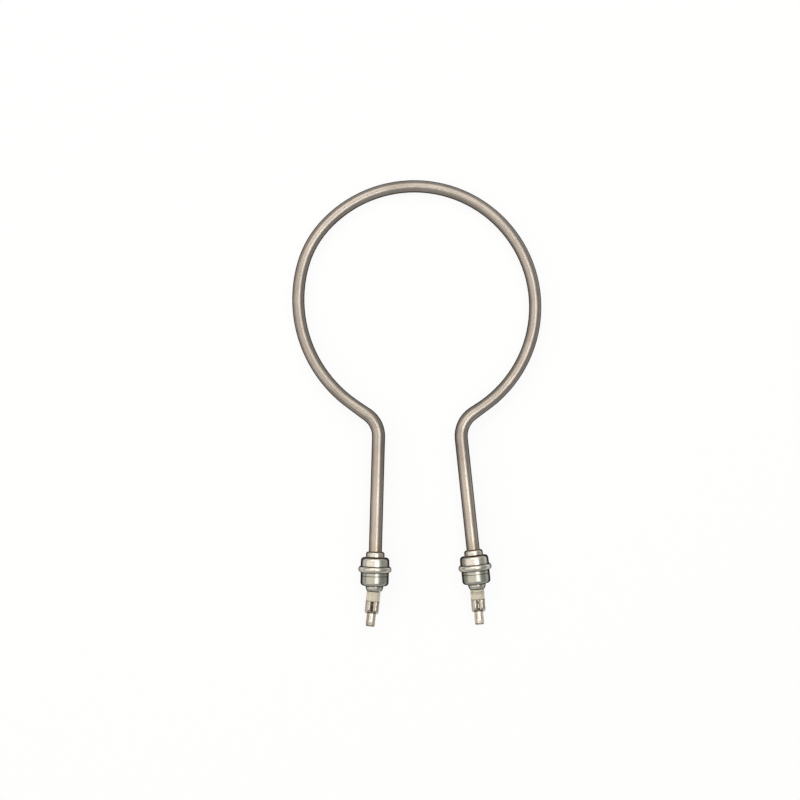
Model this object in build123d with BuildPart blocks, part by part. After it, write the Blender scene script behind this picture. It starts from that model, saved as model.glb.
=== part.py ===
from build123d import *
from math import asin, atan2, cos, degrees, hypot, radians, sin, sqrt
import os

# Tubular heating element: an oxide-filled steel sheath bent to a ring with two legs.
# Millimetres and degrees. +Z is up and +Y runs from the terminals to the ring, and the
# element lies as it comes to rest, on its two beads and the far side of the ring.

# ------------------------------------------------------------------ driving dimensions
# Sheath: it leaves the draw bench at leg_diameter and is reduced once more round the ring
leg_diameter = 9.2
ring_tube_diameter = 8.6
sheath_wall = 0.8

# Route of the sheath, across and along the element from the line through both beads
bushing_pitch = 70.0
ring_centre_across = -3.8
ring_centre_along = 183.2
ring_radius = 84.9
shoulder_radius = 67.1
shoulder_start = 137.6
shoulder_end = 162.6
flank_radius = 90.2
left_splay = 2.7
left_neck_radius = 18.3
left_run = 13.0
right_splay = 4.9
right_neck_radius = 19.1
right_run = 9.2

# Winding and the cold pins that feed it
pin_diameter = 2.4
wire_diameter = 0.5
cold_length = 58.0
pin_lap = 8.0

# Depths on each leg, from the bead toward the terminals
oxide_end = 3.5
locator_length = 3.5
sheath_end = 10.8
pivot_depth = 10.5

# Inner sleeve, from its top on the ring side to its rounded foot
sleeve_wall = 1.9
sleeve_top = 12.2
sleeve_top_round = 1.5
sleeve_foot_wall = 1.6
sleeve_foot_straight = 0.6
sleeve_tip_wall = 0.4
sleeve_end = 15.2
foot_groove_place = 0.4

# Bushing
body_diameter = 19.7
body_flare = 0.35
body_top = 8.3
body_end = 11.5
body_round = 2.3
bead_rise = 1.75
bead_width = 4.3
body_groove_depth = 4.5
fine_groove_radius = 0.18

# Brazed seams
sheath_braze = 0.35
body_braze = 0.5

# End seal and stepped insulator
seal_recess = 0.25
left_terminal_lean = 4.5
right_terminal_lean = -1.9
shank_diameter = 7.2
shank_start = 1.6
head_diameter = 9.7
head_end = 11.8
head_edge_round = 0.35
head_clearance = 0.1
pin_bore_clearance = 0.1
first_head_groove = 1.1
second_head_groove = 2.2

# Rolled tab terminal
terminal_sheet = 0.8
barrel_width = 9.6
barrel_length = 9.0
lobe_rise = 0.9
shoulder_length = 2.2
shoulder_round = 1.6
tab_width = 6.3
tab_length = 8.9
tab_corner = 0.7
tab_bevel_length = 1.0
tab_bevel_depth = 0.25
rib_width = 3.4
rib_height = 0.35
rib_length = 5.2
left_notch_width = 2.8
right_notch_width = 3.8
notch_length = 2.4
notch_side_radius = 3.84
seam_width = 0.16
opening_start = 3.0
opening_length = 4.3
opening_width = 1.6
pin_stop = 0.6

# ------------------------------------------------------------------ worked-out sizes
leg_radius = leg_diameter / 2
ring_tube_radius = ring_tube_diameter / 2
leg_bore = leg_radius - sheath_wall
ring_bore = ring_tube_radius - sheath_wall
pin_radius = pin_diameter / 2
winding_radius = pin_radius + wire_diameter
sleeve_radius = leg_radius + sleeve_wall
body_radius = body_diameter / 2
bead_radius = body_radius + bead_rise
shank_radius = shank_diameter / 2
head_radius = head_diameter / 2
terminal_length = head_end + barrel_length + tab_length
barrel_bottom = -(pin_radius + terminal_sheet)
barrel_middle = pin_radius + terminal_sheet
barrel_crest = barrel_middle + lobe_rise
tab_top = barrel_bottom + terminal_sheet


def toward(angle):
    """Unit vector in the element plane, its angle measured from the across direction."""
    return Vector(cos(radians(angle)), sin(radians(angle)))


def flat(point):
    return (point.X, point.Y)


# The ring is three tangent arcs: a long one, a tighter shoulder and a flatter flank.
ring_centre = Vector(ring_centre_across, ring_centre_along)
shoulder_centre = ring_centre + toward(shoulder_start) * (ring_radius - shoulder_radius)
flank_centre = shoulder_centre + toward(shoulder_end) * (shoulder_radius - flank_radius)


class Leg:
    """One leg in the element plane: its bead, straight, neck bend and run into the ring."""

    def __init__(self, name, side, splay, neck_radius, run, ring_arc_centre, ring_arc_radius, lean):
        self.name = name
        self.neck_radius = neck_radius
        self.bead = Vector(side * bushing_pitch / 2, 0)
        self.heading = 90 + side * splay
        self.lean = lean
        self.terminal_heading = self.heading + side * lean

        # A straight of length `run` touches both the neck's circle and the ring's, so their
        # centres are `reach` apart, and the neck's centre lies its radius outside the leg.
        up = toward(self.heading)
        outward = toward(self.heading - side * 90)
        reach = hypot(ring_arc_radius + neck_radius, run)
        offset = self.bead + outward * neck_radius - ring_arc_centre
        along = offset.dot(up)
        self.straight = -along - sqrt(along**2 - offset.dot(offset) + reach**2)
        self.neck_centre = self.bead + outward * neck_radius + up * self.straight
        to_ring = ring_arc_centre - self.neck_centre
        bearing = degrees(atan2(to_ring.Y, to_ring.X))
        run_heading = bearing - side * degrees(asin((ring_arc_radius + neck_radius) / reach))
        across = toward(run_heading + side * 90)
        self.run_start = self.neck_centre + across * neck_radius
        self.run_end = ring_arc_centre - across * ring_arc_radius
        self.ring_angle = run_heading - side * 90
        self.neck_angle = self.heading + side * 90
        self.neck_turn = run_heading - self.heading

    def point(self, depth):
        """Point on the leg's axis at a depth from the bead toward the terminals."""
        return self.bead - toward(self.heading) * depth

    def terminal_point(self, distance):
        """Point on the terminal's axis at a distance from the pivot toward the tip."""
        return self.point(pivot_depth) - toward(self.terminal_heading) * distance


left = Leg("left", -1, left_splay, left_neck_radius, left_run, flank_centre, flank_radius, left_terminal_lean)
right = Leg("right", 1, right_splay, right_neck_radius, right_run, ring_centre, ring_radius, right_terminal_lean)
legs = (left, right)
notch_width = {left: left_notch_width, right: right_notch_width}
head_grooves = {left: (), right: (first_head_groove, second_head_groove)}

# At rest the beads and the far side of the ring touch the ground, so the element slopes.
ring_reach = ring_centre_along + ring_radius
slope = atan2(bead_radius, ring_reach) - asin(ring_tube_radius / hypot(ring_reach, bead_radius))
ring_back = ring_reach * cos(slope) + ring_tube_radius
tip_front = cos(slope) * min(
    leg.terminal_point(terminal_length).Y - tab_width / 2 * abs(toward(leg.terminal_heading).X) for leg in legs
)
ring_right = ring_centre.X + ring_radius
ring_left = flank_centre.X - flank_radius
element_plane = Plane(
    origin=(-(ring_left + ring_right) / 2, -(ring_back + tip_front) / 2, bead_radius * cos(slope)),
    x_dir=(1, 0, 0),
    z_dir=(0, sin(slope), cos(slope)),
)
upward = element_plane.z_dir


def outgoing(heading):
    """Direction in space that runs away from the ring along a heading."""
    step = toward(heading)
    return -(element_plane.x_dir * step.X + element_plane.y_dir * step.Y)


def cross_plane(point, heading):
    """Plane across a leg or terminal: z points to the tips and y points up."""
    out = outgoing(heading)
    return Plane(origin=element_plane.from_local_coords(flat(point)), x_dir=upward.cross(out), z_dir=out)


def half_plane(point, heading):
    """Plane of a turned half-section: x is the radius and y runs to the tips."""
    cross = cross_plane(point, heading)
    return Plane(origin=cross.origin, x_dir=-cross.y_dir, z_dir=cross.z_dir.cross(cross.y_dir))


def turn(plane, mode=Mode.ADD):
    """Turn the pending half-section about the axis it stands on."""
    revolve(axis=Axis(plane.origin, plane.y_dir), mode=mode)


def route(height):
    """Spans of the centre line between a height on both legs: each edge and its two end sections."""
    spans = []
    with BuildLine(element_plane):
        for leg in legs:
            leg_end = flat(leg.point(-leg.straight))
            spans.append((Line(flat(leg.point(-height)), leg_end), "leg", "leg"))
            neck = CenterArc(flat(leg.neck_centre), leg.neck_radius, leg.neck_angle, leg.neck_turn)
            spans.append((neck, "leg", "leg"))
            spans.append((Line(flat(leg.run_start), flat(leg.run_end)), "leg", "ring"))
        flank = CenterArc(flat(flank_centre), flank_radius, left.ring_angle, shoulder_end - left.ring_angle)
        shoulder = CenterArc(flat(shoulder_centre), shoulder_radius, shoulder_end, shoulder_start - shoulder_end)
        ring = CenterArc(flat(ring_centre), ring_radius, shoulder_start, right.ring_angle - shoulder_start)
    return spans + [(arc, "ring", "ring") for arc in (flank, shoulder, ring)]


def round_bar(spans, radius, mode=Mode.ADD):
    """Round bar along the spans, with a radius for its leg sections and one for the ring's."""
    for edge, start, end in spans:
        with BuildSketch(Plane(origin=edge @ 0, z_dir=edge % 0)) as section:
            Circle(radius[start])
        if edge.geom_type == GeomType.CIRCLE:
            spindle = Axis(edge.arc_center, (edge @ 0 - edge.arc_center).cross(edge % 0))
            revolve(section.sketch, axis=spindle, revolution_arc=degrees(edge.length / edge.radius), mode=mode)
        elif start == end:
            extrude(section.sketch, amount=edge.length, mode=mode)
        else:
            with BuildSketch(Plane(origin=edge @ 1, z_dir=edge % 1)) as far_section:
                Circle(radius[end])
            loft([section.sketch, far_section.sketch], mode=mode)


os.makedirs("parts", exist_ok=True)

# ------------------------------------------------------------------ sheath and its filling
with BuildPart() as sheath_tube:
    round_bar(route(-sheath_end), {"leg": leg_radius, "ring": ring_tube_radius})
    round_bar(route(-sheath_end), {"leg": leg_bore, "ring": ring_bore}, mode=Mode.SUBTRACT)
sheath_tube.part.label = "sheath_tube"
export_step(sheath_tube.part, "parts/sheath_tube.step")

# The wire is wound close on the cold pins' ends: one body of the winding's outer form.
with BuildPart() as resistance_coil:
    round_bar(route(cold_length), {"leg": winding_radius, "ring": winding_radius})
    for leg in legs:
        with BuildSketch(cross_plane(leg.point(-cold_length), leg.heading)):
            Circle(pin_radius)
        extrude(amount=-pin_lap, mode=Mode.SUBTRACT)
resistance_coil.part.label = "resistance_coil"
export_step(resistance_coil.part, "parts/resistance_coil.step")

# Magnesium oxide packed between the sheath, the winding and the pins.
with BuildPart() as magnesia_fill:
    round_bar(route(-oxide_end), {"leg": leg_bore, "ring": ring_bore})
    round_bar(route(cold_length), {"leg": winding_radius, "ring": winding_radius}, mode=Mode.SUBTRACT)
    for leg in legs:
        with BuildSketch(cross_plane(leg.point(-cold_length), leg.heading)):
            Circle(pin_radius)
        extrude(amount=cold_length + oxide_end, mode=Mode.SUBTRACT)
magnesia_fill.part.label = "magnesia_fill"
export_step(magnesia_fill.part, "parts/magnesia_fill.step")

for leg in legs:
    bead_half = half_plane(leg.bead, leg.heading)
    pivot_half = half_plane(leg.terminal_point(0), leg.terminal_heading)

    # -------------------------------------------------------------- sleeve, bushing and brazing
    with BuildPart() as inner_sleeve:
        with BuildSketch(bead_half) as sleeve_section:
            with BuildLine():
                head = Polyline(
                    (leg_radius, sleeve_end),
                    (leg_radius, -sleeve_top),
                    (sleeve_radius, -sleeve_top),
                    (sleeve_radius, body_end),
                    (leg_radius + sleeve_foot_wall, body_end),
                    (leg_radius + sleeve_foot_wall, body_end + sleeve_foot_straight),
                )
                foot = TangentArc(head @ 1, (leg_radius + sleeve_tip_wall, sleeve_end), tangent=(0, 1))
                Line(foot @ 1, head @ 0)
            make_face()
            top_corner = sleeve_section.vertices().group_by(Axis.Y)[0].sort_by(Axis.X)[-1]
            fillet(top_corner, sleeve_top_round)
            with Locations(foot @ foot_groove_place):
                Circle(fine_groove_radius, mode=Mode.SUBTRACT)
        turn(bead_half)
    inner_sleeve.part.label = f"inner_sleeve_{leg.name}"
    export_step(inner_sleeve.part, f"parts/inner_sleeve_{leg.name}.step")

    with BuildPart() as bushing:
        with BuildSketch(bead_half) as body_section:
            with BuildLine():
                Polyline(
                    (sleeve_radius, -body_top),
                    (body_radius, -body_top),
                    (body_radius + body_flare, 0),
                    (body_radius, 0),
                    (body_radius, body_end),
                    (sleeve_radius, body_end),
                    close=True,
                )
            make_face()
            end_corners = [
                body_section.vertices().group_by(Axis.Y)[end].sort_by(Axis.X)[-1] for end in (0, -1)
            ]
            fillet(end_corners, body_round)
            with Locations((body_radius, 0)):
                Ellipse(bead_rise, bead_width / 2)
            with Locations((body_radius, body_groove_depth)):
                Circle(fine_groove_radius, mode=Mode.SUBTRACT)
        turn(bead_half)
    bushing.part.label = f"bushing_{leg.name}"
    export_step(bushing.part, f"parts/bushing_{leg.name}.step")

    with BuildPart() as sheath_braze_ring:
        with BuildSketch(bead_half):
            with BuildLine():
                Polyline(
                    (leg_radius, -sleeve_top),
                    (leg_radius + sheath_braze, -sleeve_top),
                    (leg_radius, -sleeve_top - sheath_braze),
                    close=True,
                )
            make_face()
        turn(bead_half)
    sheath_braze_ring.part.label = f"sheath_braze_{leg.name}"
    export_step(sheath_braze_ring.part, f"parts/sheath_braze_{leg.name}.step")

    with BuildPart() as body_braze_ring:
        with BuildSketch(bead_half):
            with BuildLine():
                Polyline(
                    (sleeve_radius, -body_top),
                    (sleeve_radius + body_braze, -body_top),
                    (sleeve_radius, -body_top - body_braze),
                    close=True,
                )
            make_face()
        turn(bead_half)
    body_braze_ring.part.label = f"body_braze_{leg.name}"
    export_step(body_braze_ring.part, f"parts/body_braze_{leg.name}.step")

    # -------------------------------------------------------------- pin, locator, seal and insulator
    # The pin leaves the winding along the leg and is set over at the pivot to the terminal's lean.
    with BuildPart() as terminal_pin:
        with BuildSketch(cross_plane(leg.point(pivot_depth), leg.heading)):
            Circle(pin_radius)
        extrude(amount=-(pivot_depth + cold_length + pin_lap))
        with Locations(pivot_half.origin):
            Sphere(pin_radius)
        with BuildSketch(cross_plane(leg.terminal_point(0), leg.terminal_heading)):
            Circle(pin_radius)
        extrude(amount=head_end + barrel_length - shoulder_length - pin_stop)
    terminal_pin.part.label = f"terminal_pin_{leg.name}"
    export_step(terminal_pin.part, f"parts/terminal_pin_{leg.name}.step")

    with BuildPart() as pin_locator:
        with BuildSketch(cross_plane(leg.point(oxide_end), leg.heading)):
            Circle(leg_bore)
            Circle(pin_radius, mode=Mode.SUBTRACT)
        extrude(amount=locator_length)
    pin_locator.part.label = f"pin_locator_{leg.name}"
    export_step(pin_locator.part, f"parts/pin_locator_{leg.name}.step")

    with BuildPart() as end_seal:
        with BuildSketch(bead_half):
            with BuildLine():
                Polyline(
                    (0, oxide_end + locator_length),
                    (leg_bore, oxide_end + locator_length),
                    (leg_bore, sheath_end),
                    (leg_radius, sheath_end),
                    (leg_radius, sleeve_end - seal_recess),
                    (0, sleeve_end - seal_recess),
                    close=True,
                )
            make_face()
        turn(bead_half)
        add(terminal_pin.part, mode=Mode.SUBTRACT)
        with BuildSketch(cross_plane(leg.terminal_point(shank_start), leg.terminal_heading)):
            Circle(shank_radius)
        extrude(amount=head_end, mode=Mode.SUBTRACT)
    end_seal.part.label = f"end_seal_{leg.name}"
    export_step(end_seal.part, f"parts/end_seal_{leg.name}.step")

    # The head's shoulder clears the sleeve's end on the side to which the terminal leans.
    lean = radians(abs(leg.lean))
    head_start = (sleeve_end - pivot_depth + head_clearance + head_radius * sin(lean)) / cos(lean)
    with BuildPart() as ceramic_insulator:
        with BuildSketch(pivot_half) as insulator_section:
            with BuildLine():
                Polyline(
                    (pin_radius + pin_bore_clearance, shank_start),
                    (shank_radius, shank_start),
                    (shank_radius, head_start),
                    (head_radius, head_start),
                    (head_radius, head_end),
                    (pin_radius + pin_bore_clearance, head_end),
                    close=True,
                )
            make_face()
            fillet(insulator_section.vertices().group_by(Axis.X)[-1], head_edge_round)
            for groove in head_grooves[leg]:
                with Locations((head_radius, head_start + groove)):
                    Circle(fine_groove_radius, mode=Mode.SUBTRACT)
        turn(pivot_half)
    ceramic_insulator.part.label = f"ceramic_insulator_{leg.name}"
    export_step(ceramic_insulator.part, f"parts/ceramic_insulator_{leg.name}.step")

    # -------------------------------------------------------------- rolled tab terminal
    # One blank: its section, its plan and its side view meet in one form, then the rolled
    # barrel's hollow, the seam between its two lobes and the opening over the pin are cut.
    barrel_across = cross_plane(leg.terminal_point(head_end), leg.terminal_heading)
    barrel_plan = Plane(origin=barrel_across.origin, x_dir=-barrel_across.x_dir, z_dir=barrel_across.y_dir)
    barrel_side = Plane(origin=barrel_across.origin, x_dir=barrel_across.z_dir, z_dir=-barrel_across.x_dir)
    lobe_radius = (barrel_crest - barrel_bottom) / 2
    lobe_height = (barrel_crest + barrel_bottom) / 2
    lobe_offset = barrel_width / 2 - lobe_radius
    blade_end = barrel_length + tab_length
    with BuildPart() as tab_terminal:
        with BuildSketch(barrel_across):
            with Locations((-lobe_offset, lobe_height), (lobe_offset, lobe_height)):
                Circle(lobe_radius)
            with Locations((0, barrel_bottom)):
                Rectangle(2 * lobe_offset, barrel_middle - barrel_bottom, align=(Align.CENTER, Align.MIN))
        extrude(amount=blade_end)
        with BuildSketch(barrel_side) as side_view:
            with BuildLine():
                Polyline(
                    (0, barrel_bottom),
                    (0, barrel_crest),
                    (barrel_length - shoulder_length, barrel_crest),
                    (barrel_length, tab_top),
                    (blade_end - tab_bevel_length, tab_top),
                    (blade_end, tab_top - tab_bevel_depth),
                    (blade_end, barrel_bottom + tab_bevel_depth),
                    (blade_end - tab_bevel_length, barrel_bottom),
                    close=True,
                )
            make_face()
            fillet(side_view.vertices().group_by(Axis.Y)[-1].sort_by(Axis.X)[-1], shoulder_round)
        extrude(amount=barrel_width, both=True, mode=Mode.INTERSECT)
        with BuildSketch(barrel_plan) as plan_view:
            Rectangle(barrel_width, barrel_length, align=(Align.CENTER, Align.MIN))
            fillet(plan_view.vertices().group_by(Axis.Y)[-1], shoulder_round)
            with BuildSketch(mode=Mode.PRIVATE) as blade_view:
                Rectangle(tab_width, blade_end, align=(Align.CENTER, Align.MIN))
                chamfer(blade_view.vertices().group_by(Axis.Y)[-1], tab_corner)
            add(blade_view.sketch)
        extrude(amount=barrel_width, both=True, mode=Mode.INTERSECT)

        with BuildSketch(barrel_across):
            with Locations((-lobe_offset, lobe_height), (lobe_offset, lobe_height)):
                Circle(lobe_radius - terminal_sheet)
            Rectangle(2 * lobe_offset, pin_diameter)
        extrude(amount=barrel_length - shoulder_length, mode=Mode.SUBTRACT)
        with BuildSketch(barrel_plan):
            with BuildLine():
                notch_left = RadiusArc((-notch_width[leg] / 2, 0), (0, notch_length), -notch_side_radius)
                notch_right = RadiusArc((notch_width[leg] / 2, 0), (0, notch_length), notch_side_radius)
                Line(notch_left @ 0, notch_right @ 0)
            make_face()
            with BuildLine():
                opening_top = (0, opening_start)
                opening_tip = (0, opening_start + opening_length)
                ThreePointArc(opening_top, (opening_width / 2, opening_start + opening_length / 2), opening_tip)
                ThreePointArc(opening_top, (-opening_width / 2, opening_start + opening_length / 2), opening_tip)
            make_face()
            Rectangle(seam_width, opening_start + opening_length, align=(Align.CENTER, Align.MIN))
        extrude(amount=barrel_crest, mode=Mode.SUBTRACT)

        with BuildSketch(barrel_across.offset(barrel_length - shoulder_length)):
            with BuildLine():
                crown = ThreePointArc((-rib_width / 2, tab_top), (0, tab_top + rib_height), (rib_width / 2, tab_top))
                Line(crown @ 0, crown @ 1)
            make_face()
        extrude(amount=shoulder_length + rib_length)
    tab_terminal.part.label = f"tab_terminal_{leg.name}"
    export_step(tab_terminal.part, f"parts/tab_terminal_{leg.name}.step")
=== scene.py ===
import bpy
from math import pi, radians
from mathutils import Matrix, Vector


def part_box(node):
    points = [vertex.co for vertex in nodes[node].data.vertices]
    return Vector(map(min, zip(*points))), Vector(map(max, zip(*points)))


# Dresses a tubular heating element: an annealed steel ring with two legs, each ending in a
# turned bushing, a steatite insulator and a plated tab terminal. Metres, Z up, tips at -Y.

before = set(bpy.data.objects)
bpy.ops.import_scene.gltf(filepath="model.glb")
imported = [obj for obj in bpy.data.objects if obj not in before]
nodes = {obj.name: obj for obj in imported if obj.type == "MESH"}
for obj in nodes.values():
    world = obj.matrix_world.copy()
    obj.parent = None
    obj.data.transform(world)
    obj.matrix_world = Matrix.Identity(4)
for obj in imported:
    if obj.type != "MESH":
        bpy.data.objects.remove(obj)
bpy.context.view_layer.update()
print("frame loaded,", len(nodes), "nodes")

perMetre = 1000         # millimetres in a metre
noiseSpan = (0.3, 0.7)  # nearly all of a noise pattern lies between these two


def linear(hexColour):
    # sRGB hex to the linear numbers that a shader takes
    channels = [int(hexColour[i:i + 2], 16) / 255 for i in (1, 3, 5)]
    return [c / 12.92 if c <= 0.04045 else ((c + 0.055) / 1.055) ** 2.4 for c in channels] + [1.0]


def add(tree, kind, settings=None, inputs=None):
    # one node: its settings, then its inputs, each a value or the socket that feeds it
    node = tree.nodes.new(kind)
    for name, value in (settings or {}).items():
        setattr(node, name, value)
    for name, value in (inputs or {}).items():
        if isinstance(value, bpy.types.NodeSocket):
            tree.links.new(value, node.inputs[name])
        else:
            node.inputs[name].default_value = value
    return node


def surface(name, sockets):
    # a material whose Principled shader has these plain values on its own sockets
    material = bpy.data.materials.new(name)
    material.use_nodes = True
    shader = material.node_tree.nodes["Principled BSDF"]
    for socket, value in sockets.items():
        shader.inputs[socket].default_value = value
    return material, material.node_tree, shader


def mottle(tree, path, sizes, detail=3.0):
    # an uneven pattern whose marks have these real sizes in millimetres along X, Y and Z
    scaled = add(tree, "ShaderNodeMapping", None,
                 {"Vector": path, "Scale": [perMetre / size for size in sizes]})
    noise = add(tree, "ShaderNodeTexNoise", None,
                {"Vector": scaled.outputs[0], "Scale": 1.0, "Detail": detail})
    return noise.outputs["Fac"]


def layer(tree, under, over, pattern, low=0.0, high=1.0, most=1.0):
    # lays one colour over another: none of it where the pattern is at low, and its greatest share
    # where the pattern is at high
    under, over = [linear(paint) if isinstance(paint, str) else paint for paint in (under, over)]
    share = add(tree, "ShaderNodeMapRange", {"interpolation_type": "SMOOTHSTEP"},
                {"Value": pattern, "From Min": low, "From Max": high,
                 "To Min": 0.0, "To Max": most})
    # a Mix node's colours are its sockets 6 and 7, and leave by its third
    return add(tree, "ShaderNodeMix", {"data_type": "RGBA"},
               {0: share.outputs[0], 6: under, 7: over}).outputs[2]


def finish(tree, shader, colour, dulling, roughness, relief, bump):
    # a roughness that follows one pattern, and a relief from another, given as its strength and
    # its real depth in millimetres
    strength, depth = bump
    rough = add(tree, "ShaderNodeMapRange", None,
                {"Value": dulling, "From Min": noiseSpan[0], "From Max": noiseSpan[1],
                 "To Min": roughness[0], "To Max": roughness[1]})
    bumped = add(tree, "ShaderNodeBump", None,
                 {"Height": relief, "Strength": strength, "Distance": depth / perMetre})
    sources = {"Base Color": colour, "Roughness": rough.outputs[0], "Normal": bumped.outputs[0]}
    for socket, source in sources.items():
        tree.links.new(source, shader.inputs[socket])


def dress(names, material):
    for name in names:
        for slot in nodes[name].material_slots:
            slot.material = material


ring = {
    "radius": 0.0849,           # to the middle of the tube
    "tubeRadius": 0.0043,
    "centreX": -0.0018,
}
# the middle of each leg's bead and of each terminal's blade, and how far each turns from
# straight, in degrees
legs = {
    "left": {"bead": Vector((-0.0330, -0.11598, 0.0116)), "splay": 2.7,
             "tab": Vector((-0.036659, -0.151553, 0.010963)), "tabTurn": 7.2},
    "right": {"bead": Vector((0.0370, -0.11598, 0.0116)), "splay": -4.9,
              "tab": Vector((0.039219, -0.151691, 0.010967)), "tabTurn": -3.0},
}
sheathLow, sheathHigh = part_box("sheath_tube")
ringCentre = Vector((ring["centreX"], sheathHigh.y - ring["radius"] - ring["tubeRadius"], 0))


def straightPath(tree, start, turn):
    # coordinates that start at a point, with Y running along the leg or terminal
    place = add(tree, "ShaderNodeTexCoord").outputs["Object"]
    moved = add(tree, "ShaderNodeVectorMath", {"operation": "SUBTRACT"}, {0: place, 1: start})
    return add(tree, "ShaderNodeVectorRotate", {"rotation_type": "Z_AXIS"},
               {"Vector": moved.outputs[0], "Angle": radians(turn)}).outputs[0]


def sheathPath(tree):
    # coordinates that run along the tube: straight in the legs, round the centre in the ring
    place = add(tree, "ShaderNodeTexCoord").outputs["Object"]
    fromCentre = add(tree, "ShaderNodeVectorMath", {"operation": "SUBTRACT"},
                     {0: place, 1: ringCentre})
    parts = add(tree, "ShaderNodeSeparateXYZ", None, {0: fromCentre.outputs[0]}).outputs
    angle = add(tree, "ShaderNodeMath", {"operation": "ARCTAN2"}, {0: parts["Y"], 1: parts["X"]})
    arc = add(tree, "ShaderNodeMath", {"operation": "MULTIPLY"},
              {0: angle.outputs[0], 1: ring["radius"]})
    flat = add(tree, "ShaderNodeCombineXYZ", None, {"X": parts["X"], "Y": parts["Y"]})
    out = add(tree, "ShaderNodeVectorMath", {"operation": "LENGTH"}, {0: flat.outputs[0]})
    bent = add(tree, "ShaderNodeCombineXYZ", None,
               {"X": out.outputs["Value"], "Y": arc.outputs[0], "Z": parts["Z"]})
    isLeg = add(tree, "ShaderNodeMath", {"operation": "LESS_THAN"},
                {0: parts["Y"], 1: -ring["radius"]})
    # a Mix node's vectors are its sockets 4 and 5, and leave by its second
    return add(tree, "ShaderNodeMix", {"data_type": "VECTOR"},
               {0: isLeg.outputs[0], 4: bent.outputs[0], 5: fromCentre.outputs[0]}).outputs[1]


def flanks(tree, facing):
    # a mask for painted shade on the sides: 1 where the surface stands upright or faces down, 0
    # where it faces up
    normal = add(tree, "ShaderNodeTexCoord").outputs["Normal"]
    upward = add(tree, "ShaderNodeSeparateXYZ", None, {0: normal}).outputs["Z"]
    return add(tree, "ShaderNodeMapRange", {"interpolation_type": "SMOOTHSTEP"},
               {"Value": upward, "From Min": facing[0], "From Max": facing[1],
                "To Min": 1.0, "To Max": 0.0}).outputs[0]


def distanceFrom(tree, along, place):
    # how far each point lies from a place along the leg or terminal
    offset = add(tree, "ShaderNodeMath", {"operation": "SUBTRACT"}, {0: along, 1: place})
    return add(tree, "ShaderNodeMath", {"operation": "ABSOLUTE"}, {0: offset.outputs[0]}).outputs[0]


# In the dictionaries below a name that ends in Layer holds where on its pattern a colour starts,
# where it is full and its share there. Patterns have real sizes in millimetres, and so has the
# depth of a bump, which stands after its strength. Places, widths and reaches are in metres.
# An edge tint is what a metal turns to at a grazing angle, and a dark one outlines its round forms.

# Sheath: stainless tube, drawn, bent and annealed. Drawing leaves long faint lines and
# annealing a thin warm oxide, so the shine is broad. The sides carry painted shade.
sheathLook = {
    "colour": "#b1a8a0",
    "oxide": "#948b83",
    "oxideLayer": (0.35, 0.7, 0.5),
    "lineLayer": (0.35, 0.7, 0.3),
    # the colour of a lighter painted sheen on the legs
    "paintedSheen": "#cbc1b5",
    "paintedSheenLayer": (-0.03, -0.07, 0.45),  # along Y: the legs lie below the second place
    "straw": "#a08c70",
    "strawShare": 0.35,
    "sleeveCover": 0.022,          # how much of the sheath's end the sleeve hides
    "heatReach": 0.014,
    # the colour of painted shade on the sides of the tube
    "flank": "#544e47",
    "flankFacing": (0.2, 0.98),
    "roughness": (0.33, 0.38),
    "line": (1.4, 60.0, 1.4),      # real lines are near 0.1 mm wide and would not show
    "patch": (18.0, 18.0, 18.0),
    "bump": (0.05, 0.05),
    "edgeTint": "#000000",
}


def sheathSteel():
    look = sheathLook
    material, tree, shader = surface(
        "annealedDrawnSteel", {"Metallic": 1.0, "Specular Tint": linear(look["edgeTint"])})
    path = sheathPath(tree)
    lines = mottle(tree, path, look["line"])
    patches = mottle(tree, path, look["patch"])
    layered = layer(tree, look["colour"], look["oxide"], patches, *look["oxideLayer"])
    lined = layer(tree, layered, look["oxide"], lines, *look["lineLayer"])
    # the legs are painted lighter than the ring, a painted sheen, and brazing the sleeves on has
    # left a straw heat tint on the last centimetre of each
    place = add(tree, "ShaderNodeTexCoord").outputs["Object"]
    along = add(tree, "ShaderNodeSeparateXYZ", None, {0: place}).outputs["Y"]
    collar = sheathLow.y + look["sleeveCover"]
    paintedSheen = layer(tree, lined, look["paintedSheen"], along, *look["paintedSheenLayer"])
    tinted = layer(tree, paintedSheen, look["straw"], along,
                   collar + look["heatReach"], collar, look["strawShare"])
    # painted shade darkens the sides of the tube
    flankShaded = layer(tree, tinted, look["flank"], flanks(tree, look["flankFacing"]))
    finish(tree, shader, flankShaded, patches, look["roughness"], lines, look["bump"])
    return material


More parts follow.
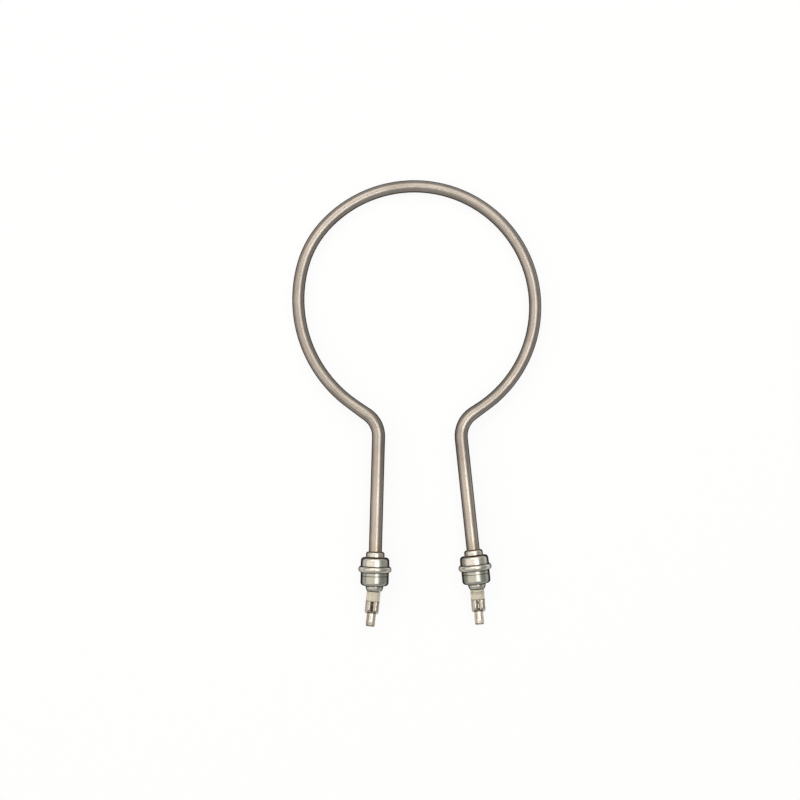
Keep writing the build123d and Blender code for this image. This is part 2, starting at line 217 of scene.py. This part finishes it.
# Bushings and sleeves: stainless bar, turned on a lathe and left bright. The tool leaves
# fine rings round it, so the shine is sharp and lies in bands along the leg.
bushingLook = {
    "colour": "#b9b8b0",
    "dull": "#a9a89f",
    "dullLayer": (0.35, 0.7, 0.2),
    "ringLayer": (0.45, 0.75, 0.25),
    # the colour of a painted highlight on the end towards the ring, on the bead and on the sleeve's
    # tip
    "paintedHighlight": "#dfd9cf",
    "highlightPlace": 0.004,          # from the bead towards the ring
    "beadReach": 0.0026,           # either way from the bead's middle
    "beadFull": 0.6,               # the part of that reach that is lightened fully
    "beadShare": 0.65,
    "beadFlankShade": 0.2,              # how much of the painted flank shade the lightened bead keeps
    "sleeveTip": -0.0119,
    "tipFade": 0.0006,
    "tipShare": 0.7,
    "tipFlankShade": 0.8,
    # the colour of painted shade on the sides of the bushing and sleeve
    "flank": "#62615a",
    "flankFacing": (0.35, 0.82),
    "creaseShade": "#3f3a30",
    "creaseShadeShare": 0.8,
    # each crease darkened with painted shade: its place along the leg, from the bead, and its width
    "creases": (
        (0.00215, 0.0007), (-0.00215, 0.0007),  # the bead's two sides
        (-0.0045, 0.0004),                      # the fine groove
        (0.0083, 0.0005), (-0.0117, 0.0005),    # the body's two ends
        (-0.0149, 0.0008),                      # the sleeve's foot
    ),
    "roughness": (0.29, 0.33),
    "ring": (40.0, 0.5, 40.0),     # real feed marks are near 0.15 mm apart and would not show
    "patch": (6.0, 6.0, 6.0),
    "bump": (0.03, 0.03),
    "edgeTint": "#0a0a0a",
}


def turnedSteel(side):
    look = bushingLook
    material, tree, shader = surface(
        "turnedBrightSteel" + side.capitalize(),
        {"Metallic": 1.0, "Specular Tint": linear(look["edgeTint"])})
    path = straightPath(tree, legs[side]["bead"], legs[side]["splay"])
    rings = mottle(tree, path, look["ring"], detail=2.0)
    patches = mottle(tree, path, look["patch"])
    along = add(tree, "ShaderNodeSeparateXYZ", None, {0: path}).outputs["Y"]
    fromBead = add(tree, "ShaderNodeMath", {"operation": "ABSOLUTE"}, {0: along}).outputs[0]
    beadFull = look["beadFull"] * look["beadReach"]
    tipFull = look["sleeveTip"] - look["tipFade"]
    # a painted highlight lightens the end towards the ring, and the bead and the sleeve's tip
    # all round
    paintedSheen = layer(tree, look["colour"], look["paintedHighlight"], along, high=look["highlightPlace"])
    beaded = layer(tree, paintedSheen, look["paintedHighlight"], fromBead,
                   look["beadReach"], beadFull, look["beadShare"])
    metal = layer(tree, beaded, look["paintedHighlight"], along,
                  look["sleeveTip"], tipFull, look["tipShare"])
    dulled = layer(tree, metal, look["dull"], patches, *look["dullLayer"])
    ringed = layer(tree, dulled, look["dull"], rings, *look["ringLayer"])
    # painted shade darkens the flanks, and the painted highlight takes most of it off the bead and
    # a little of it off the tip
    beyondBead = add(tree, "ShaderNodeMapRange", None,
                     {"Value": fromBead, "From Min": beadFull, "From Max": look["beadReach"],
                      "To Min": look["beadFlankShade"], "To Max": 1.0})
    beforeTip = add(tree, "ShaderNodeMapRange", None,
                    {"Value": along, "From Min": tipFull, "From Max": look["sleeveTip"],
                     "To Min": look["tipFlankShade"], "To Max": 1.0})
    shadeKept = add(tree, "ShaderNodeMath", {"operation": "MULTIPLY"},
                   {0: beyondBead.outputs[0], 1: beforeTip.outputs[0]})
    flank = add(tree, "ShaderNodeMath", {"operation": "MULTIPLY"},
                {0: flanks(tree, look["flankFacing"]), 1: shadeKept.outputs[0]})
    colour = layer(tree, ringed, look["flank"], flank.outputs[0])
    # painted shade darkens the creases beside the bead and the turned grooves
    for place, width in look["creases"]:
        away = distanceFrom(tree, along, place)
        near = add(tree, "ShaderNodeMath", {"operation": "SUBTRACT"}, {0: width, 1: away})
        colour = layer(tree, colour, look["creaseShade"], near.outputs[0],
                       high=width, most=look["creaseShadeShare"])
    finish(tree, shader, colour, patches, look["roughness"], rings, look["bump"])
    return material


# Braze: copper alloy that flowed into the seams and oxidised, brown with brighter spots.
brazeLook = {
    "colour": "#85603f",
    "oxide": "#4d3424",
    "oxideLayer": (0.35, 0.65, 1.0),
    "roughness": (0.3, 0.55),
    "patch": (1.2, 1.2, 1.2),
    "bump": (0.4, 0.08),
}


def copperBraze():
    look = brazeLook
    material, tree, shader = surface("oxidisedCopperBraze", {"Metallic": 1.0})
    patches = mottle(tree, add(tree, "ShaderNodeTexCoord").outputs["Object"], look["patch"])
    colour = layer(tree, look["colour"], look["oxide"], patches, *look["oxideLayer"])
    finish(tree, shader, colour, patches, look["roughness"], patches, look["bump"])
    return material


# Insulator: steatite, pressed and fired without glaze. It is cream, dense and nearly matt,
# with fine specks and the faint rings of the die.
ceramicLook = {
    "colour": "#d3ccba",
    "glow": 0.08,                  # light goes a little way in, its red part deepest
    "glowColour": (1.0, 0.8, 0.6),
    "glowDepth": 0.0006,
    "shade": "#c5bdab",
    "shadeLayer": (0.3, 0.7, 1.0),
    "ringLayer": (0.5, 0.8, 0.6),
    "speck": "#8f8270",
    "speckLayer": (0.62, 0.75, 0.5),
    # the colour of painted shade in the grooves and at the seat
    "grooveShade": "#6e5c46",
    "grooveShadeShare": 0.8,
    # the terminal's seat, and on the right two grooves, as places along the terminal from the
    # blade's middle
    "grooves": {"left": (0.0136,), "right": (0.0136, 0.0177, 0.0188)},
    "grooveWidth": 0.00035,
    "roughness": (0.4, 0.55),
    "patch": (2.4, 2.4, 2.4),
    "grain": (0.5, 0.5, 0.5),
    "dieRing": (30.0, 0.9, 30.0),
    "bump": (0.3, 0.04),
}


def steatite(side):
    look = ceramicLook
    material, tree, shader = surface(
        "firedSteatite" + side.capitalize(),
        {"Subsurface Weight": look["glow"], "Subsurface Radius": look["glowColour"],
         "Subsurface Scale": look["glowDepth"]})
    path = straightPath(tree, legs[side]["tab"], legs[side]["tabTurn"])
    patches = mottle(tree, path, look["patch"])
    grain = mottle(tree, path, look["grain"], detail=2.0)
    rings = mottle(tree, path, look["dieRing"], detail=1.0)
    body = layer(tree, look["colour"], look["shade"], patches, *look["shadeLayer"])
    ringed = layer(tree, body, look["shade"], rings, *look["ringLayer"])
    colour = layer(tree, ringed, look["speck"], grain, *look["speckLayer"])
    # painted shade darkens the fine grooves and where the terminal sits
    along = add(tree, "ShaderNodeSeparateXYZ", None, {0: path}).outputs["Y"]
    for place in look["grooves"][side]:
        colour = layer(tree, colour, look["grooveShade"], distanceFrom(tree, along, place),
                       look["grooveWidth"], 0.0, look["grooveShadeShare"])
    finish(tree, shader, colour, patches, look["roughness"], grain, look["bump"])
    return material


# Terminals: steel strip, stamped, rolled and plated. The plate is soft and pale. A painted
# highlight lies on the blade's rib and on the shoulder, painted shade on the blade's edges and in
# the barrel's seam, and the barrel's end by the insulator is darker.
terminalLook = {
    "colour": "#bcb6ab",
    "dull": "#aea79b",
    "dullLayer": (0.35, 0.7, 1.0),
    "stain": "#6b5a44",
    "stainLayer": (0.64, 0.8, 0.4),
    # the colour of painted shade towards the blade's edges
    "edge": "#8f887d",
    "edgeReach": (0.15, 0.6),      # of the blade's half width
    "halfWidth": 0.00315,
    "bladeHalf": 0.00445,          # half the blade's length
    # the colour of the painted highlight on the rib and the shoulder
    "bright": "#dedad0",
    "highlightPlace": (0.0015, 0.003),  # the middle and half the length of the painted highlight on the blade
    "highlightWidth": 0.0015,
    "highlightFull": 0.6,             # the part of that width that is painted fully
    "shoulder": (0.0055, 0.0011),  # the middle and half the length of the painted highlight on the shoulder
    "shoulderShare": 0.8,
    # the colour of painted shade in the barrel's seam and its opening, and of the darker end by the
    # insulator
    "seamShadeAndRim": "#4c3a29",
    "rimPlace": 0.0128,
    "rimFade": 0.0006,
    "rimShare": 0.7,
    "seamShadeEnd": 0.0062,             # where the seam's painted shade stops, towards the blade
    "seamShadeWidth": 0.0009,
    "seamShadeFull": 0.5,
    "seamShadeShare": 0.9,
    "roughness": (0.28, 0.36),
    "patch": (2.2, 2.2, 2.2),
    "grain": (0.6, 0.6, 0.6),
    "bump": (0.06, 0.04),
    "edgeTint": "#6a645a",
}


def platedStrip(side):
    look = terminalLook
    material, tree, shader = surface(
        "platedSteelStrip" + side.capitalize(),
        {"Metallic": 1.0, "Specular Tint": linear(look["edgeTint"])})
    path = straightPath(tree, legs[side]["tab"], legs[side]["tabTurn"])
    patches = mottle(tree, path, look["patch"])
    grain = mottle(tree, path, look["grain"], detail=2.0)
    parts = add(tree, "ShaderNodeSeparateXYZ", None, {0: path}).outputs
    across = add(tree, "ShaderNodeMath", {"operation": "ABSOLUTE"}, {0: parts["X"]}).outputs[0]
    onBlade = add(tree, "ShaderNodeMath", {"operation": "LESS_THAN"},
                  {0: parts["Y"], 1: look["bladeHalf"]})
    plate = layer(tree, look["colour"], look["dull"], patches, *look["dullLayer"])
    stained = layer(tree, plate, look["stain"], grain, *look["stainLayer"])
    # painted shade darkens the blade towards its edges
    outward = add(tree, "ShaderNodeMath", {"operation": "MULTIPLY"},
                  {0: across, 1: onBlade.outputs[0]})
    edgeShaded = layer(tree, stained, look["edge"], outward.outputs[0],
                  *[reach * look["halfWidth"] for reach in look["edgeReach"]])
    # a painted highlight lies on the rib and the shoulder, painted shade darkens the barrel's seam
    # and its opening, and the barrel's end by the insulator is darker
    nearMiddle = add(tree, "ShaderNodeMapRange", None,
                     {"Value": across, "From Min": look["seamShadeWidth"],
                      "From Max": look["seamShadeFull"] * look["seamShadeWidth"]})
    onBarrel = add(tree, "ShaderNodeMath", {"operation": "GREATER_THAN"},
                   {0: parts["Y"], 1: look["seamShadeEnd"]})
    highlightSpan = add(tree, "ShaderNodeMath", {"operation": "COMPARE"},
                  {0: parts["Y"], 1: look["highlightPlace"][0], 2: look["highlightPlace"][1]})
    onRib = add(tree, "ShaderNodeMapRange", None,
                {"Value": across, "From Min": look["highlightWidth"],
                 "From Max": look["highlightFull"] * look["highlightWidth"]})
    paintedHighlight = add(tree, "ShaderNodeMath", {"operation": "MULTIPLY"},
                 {0: onRib.outputs[0], 1: highlightSpan.outputs[0]})
    shoulder = add(tree, "ShaderNodeMath", {"operation": "COMPARE"},
                   {0: parts["Y"], 1: look["shoulder"][0], 2: look["shoulder"][1]})
    seam = add(tree, "ShaderNodeMath", {"operation": "MULTIPLY"},
               {0: nearMiddle.outputs[0], 1: onBarrel.outputs[0]})
    ribHighlighted = layer(tree, edgeShaded, look["bright"], paintedHighlight.outputs[0])
    layered = layer(tree, ribHighlighted, look["bright"], shoulder.outputs[0], most=look["shoulderShare"])
    rimmed = layer(tree, layered, look["seamShadeAndRim"], parts["Y"],
                   look["rimPlace"], look["rimPlace"] + look["rimFade"], look["rimShare"])
    marked = layer(tree, rimmed, look["seamShadeAndRim"], seam.outputs[0], most=look["seamShadeShare"])
    finish(tree, shader, marked, patches, look["roughness"], grain, look["bump"])
    return material


# The small parts, which show in a gap or not at all. Each material dresses the pieces whose
# names start with these words.
smallLooks = {
    # nickel wire, drawn bright and clipped off, so it glints in the opening
    "drawnNickelPin": {
        "pieces": ("terminal_pin_right",), "colour": "#e4dfd4", "shade": "#a8987e",
        "metallic": 1.0, "roughness": (0.2, 0.35), "patch": 1.5},
    # the same wire, painted dark and dull as painted shade for where it lies inside the barrel
    "paintedShadeNickelPin": {
        "pieces": ("terminal_pin_left",), "colour": "#6a543e", "shade": "#3d2e20",
        "metallic": 1.0, "roughness": (0.35, 0.5), "patch": 1.0},
    # silicone, cast into the mouth of the sheath: dark and matt, a dark that also stands in as
    # painted shade for the gap between the sleeve and the insulator
    "castSiliconeSeal": {
        "pieces": ("end_seal",), "colour": "#4a4238", "shade": "#332d27",
        "metallic": 0.0, "roughness": (0.5, 0.7), "patch": 1.5},
    # fused magnesium oxide, crushed and packed: chalky white
    "packedMagnesia": {
        "pieces": ("magnesia_fill", "pin_locator"), "colour": "#e8e4da", "shade": "#d2ccbf",
        "metallic": 0.0, "roughness": (0.8, 0.95), "patch": 0.8},
    # nickel-chrome wire, wound and fired: grey-green oxide
    "oxidisedResistanceWire": {
        "pieces": ("resistance_coil",), "colour": "#6f726a", "shade": "#4b4d47",
        "metallic": 1.0, "roughness": (0.4, 0.6), "patch": 1.0},
}
smallBump = (0.3, 0.04)


def smallPart(name, look):
    material, tree, shader = surface(name, {"Metallic": look["metallic"]})
    patches = mottle(tree, add(tree, "ShaderNodeTexCoord").outputs["Object"], [look["patch"]] * 3)
    colour = layer(tree, look["colour"], look["shade"], patches, *noiseSpan)
    finish(tree, shader, colour, patches, look["roughness"], patches, smallBump)
    return material


dress(["sheath_tube"], sheathSteel())
for side in legs:
    dress(["bushing_" + side, "inner_sleeve_" + side], turnedSteel(side))
    dress(["ceramic_insulator_" + side], steatite(side))
    dress(["tab_terminal_" + side], platedStrip(side))
dress([name for name in nodes if "braze" in name], copperBraze())
for materialName, look in smallLooks.items():
    pieces = [name for name in nodes if name.startswith(look["pieces"])]
    dress(pieces, smallPart(materialName, look))
print("materials on")


studio = {
    "floor": "#fafafa",
    "floorSize": 20.0,
    "shadowShare": 0.1,            # the share of the paper's lit colour, which carries the shadow
    "surroundings": "#9a9d9a",
    "surroundingsLevel": 1.0,
}
# each panel hangs at its place, faces a point, and has its length along its run
panels = {
    "overhead": {"place": (0.36, -0.02, 1.28), "facing": (0.02, -0.02, 0.0), "run": (0, 1, 0),
                 "length": 0.75, "width": 0.62, "brightness": 3.3, "colour": "#fffdf8"},
    "left": {"place": (-0.77, 0.0, 0.92), "facing": (0.0, 0.0, 0.0), "run": (0, 1, 0),
             "length": 1.6, "width": 1.6, "brightness": 0.9, "colour": "#fff5ea"},
    "back": {"place": (0.0, 0.92, 1.05), "facing": (0.0, 0.05, 0.0), "run": (1, 0, 0),
             "length": 1.7, "width": 0.9, "brightness": 1.6, "colour": "#fffaf2"},
    "front": {"place": (0.0, -1.15, 0.6), "facing": (0.0, -0.1, 0.0), "run": (1, 0, 0),
              "length": 1.6, "width": 0.8, "brightness": 0.25, "colour": "#ffffff"},
}
view = {
    "lens": 76.5,                  # in millimetres, as is the sensor
    "sensorWidth": 36.0,
    "place": (-0.013105, 0.001942, 1.2),
    "turn": -1.138,                # in degrees, round the line of sight
}


def makeFloor():
    half = studio["floorSize"] / 2
    corners = [(-half, -half, 0), (half, -half, 0), (half, half, 0), (-half, half, 0)]
    mesh = bpy.data.meshes.new("floor")
    mesh.from_pydata(corners, [], [(0, 1, 2, 3)])
    floor = bpy.data.objects.new("floor", mesh)
    bpy.context.scene.collection.objects.link(floor)
    material = bpy.data.materials.new("whitePaperSweep")
    material.use_nodes = True
    tree = material.node_tree
    tree.nodes.clear()
    # white to the camera and to what metal mirrors, lit paper to every other ray
    ray = add(tree, "ShaderNodeLightPath").outputs
    direct = add(tree, "ShaderNodeMath", {"operation": "MAXIMUM"},
                 {0: ray["Is Camera Ray"], 1: ray["Is Glossy Ray"]})
    seen = add(tree, "ShaderNodeMath", {"operation": "MAXIMUM"},
               {0: direct.outputs[0], 1: ray["Is Transmission Ray"]})
    paper = add(tree, "ShaderNodeBsdfDiffuse", None, {"Color": linear(studio["floor"])})
    white = add(tree, "ShaderNodeEmission", None, {"Color": linear("#ffffff"), "Strength": 1.0})
    shown = add(tree, "ShaderNodeMixShader", None,
                {0: studio["shadowShare"], 1: white.outputs[0], 2: paper.outputs[0]})
    both = add(tree, "ShaderNodeMixShader", None,
               {0: seen.outputs[0], 1: paper.outputs[0], 2: shown.outputs[0]})
    add(tree, "ShaderNodeOutputMaterial", None, {"Surface": both.outputs[0]})
    mesh.materials.append(material)


def makePanel(name, place, facing, run, length, width, brightness, colour):
    light = bpy.data.lights.new(name, "AREA")
    light.shape = "RECTANGLE"
    light.size = length
    light.size_y = width
    light.color = linear(colour)[:3]
    light.energy = brightness * pi * width * length
    panel = bpy.data.objects.new(name, light)
    bpy.context.scene.collection.objects.link(panel)
    back = (Vector(place) - Vector(facing)).normalized()
    across = back.cross(Vector(run)).normalized()
    turned = Matrix((across.cross(back), across, back)).transposed().to_4x4()
    panel.matrix_world = Matrix.Translation(place) @ turned
    panel.visible_camera = False


def makeCamera():
    camera = bpy.data.objects.new("camera", bpy.data.cameras.new("camera"))
    bpy.context.scene.collection.objects.link(camera)
    camera.data.lens = view["lens"]
    camera.data.sensor_width = view["sensorWidth"]
    camera.location = view["place"]
    camera.rotation_euler = (0, 0, radians(view["turn"]))
    bpy.context.scene.camera = camera


def makeSurroundings():
    world = bpy.data.worlds.new("studio")
    world.use_nodes = True
    background = world.node_tree.nodes["Background"]
    background.inputs["Color"].default_value = linear(studio["surroundings"])
    background.inputs["Strength"].default_value = studio["surroundingsLevel"]
    bpy.context.scene.world = world


makeFloor()
for name, values in panels.items():
    makePanel(name, **values)
makeCamera()
makeSurroundings()
bpy.context.scene.view_settings.view_transform = "Standard"
print("studio ready")
